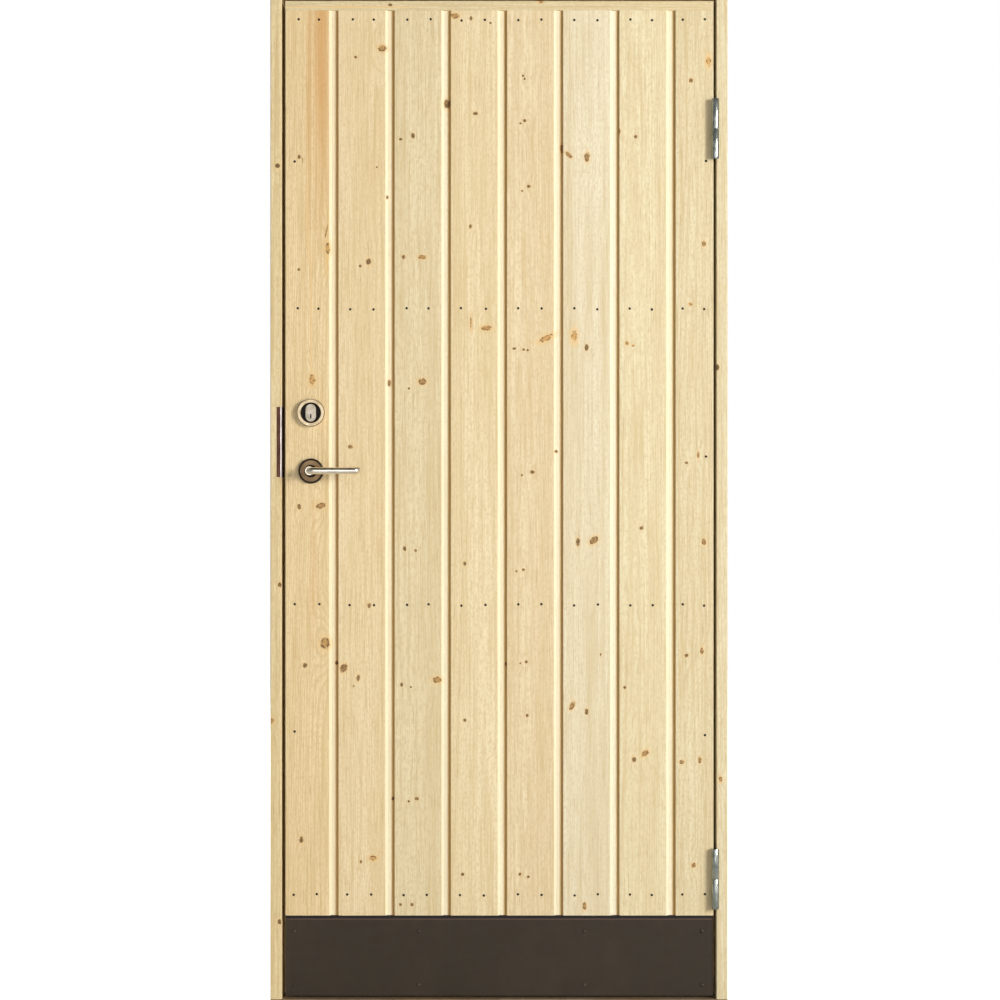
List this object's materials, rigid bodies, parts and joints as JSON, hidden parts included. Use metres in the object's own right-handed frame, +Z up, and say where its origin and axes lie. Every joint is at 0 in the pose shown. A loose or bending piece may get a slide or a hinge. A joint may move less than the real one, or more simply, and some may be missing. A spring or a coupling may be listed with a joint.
{
  "type": "shed door",
  "caption": "Outward-opening pine board door hung on lift-off hinges in a rebated timber frame, with a lever handle, a mortise lock and a metal kick plate.",
  "frame": {"origin": "middle of the threshold's underside", "axes": "+X to the hinge side as seen from outside, +Y into the wall, +Z up"},
  "size_m": [0.885, 0.1594, 1.98],
  "materials": {
    "pine": "planed, untreated",
    "threshold_wood": "oiled hardwood",
    "plywood": "sanded",
    "kick_metal": "dark brown coat",
    "zinc": "zinc plated",
    "bronzed_steel": "dark bronze",
    "lock_steel": "bright plated",
    "satin_nickel": "satin nickel"
  },
  "bodies": {
    "frame": {"lock_jamb": "pine", "hinge_jamb": "pine", "frame_head": "pine", "threshold": "threshold_wood", "strike_plate": "bronzed_steel", "upper_hinge_frame_half": "zinc", "lower_hinge_frame_half": "zinc"},
    "leaf": {"board_1": "pine", "board_2": "pine", "board_3": "pine", "board_4": "pine", "board_5": "pine", "board_6": "pine", "board_7": "pine", "board_8": "pine", "lock_stile": "pine", "hinge_stile": "pine", "top_rail": "pine", "upper_middle_rail": "pine", "lower_middle_rail": "pine", "bottom_rail": "pine", "top_strip": "pine", "kick_backing": "plywood", "kick_plate": "kick_metal", "upper_hinge_leaf_half": "zinc", "lower_hinge_leaf_half": "zinc", "mortise_lock": "lock_steel", "latch_bolt": "lock_steel", "dead_bolt": "lock_steel", "cylinder_ring": "satin_nickel", "lock_cylinder": "satin_nickel", "lever_rose_outside": "satin_nickel", "lever_rose_inside": "satin_nickel", "thumb_turn_rose": "satin_nickel", "thumb_turn": "satin_nickel"},
    "lever": {"lever_outside": "satin_nickel", "lever_inside": "satin_nickel", "spindle": "lock_steel"},
    "key_plug": {"cylinder_plug": "satin_nickel"}
  },
  "joints": [
    {"name": "leaf_swing", "type": "hinge", "parent": "frame", "child": "leaf", "pos_m": [0.41775, -0.0545, 0.255], "axis": [0, 0, 1], "range_deg": [0, 165]},
    {"name": "lever_turn", "type": "hinge", "parent": "leaf", "child": "lever", "pos_m": [-0.3635, -0.046, 1.043], "axis": [0, 1, 0], "range_deg": [0, 45], "stiffness_Nm_per_rad": 1.5, "springref_deg": -28.65},
    {"name": "key_turn", "type": "hinge", "parent": "leaf", "child": "key_plug", "pos_m": [-0.3635, -0.054, 1.14875], "axis": [0, 1, 0], "range_deg": [0, 90]}
  ]
}
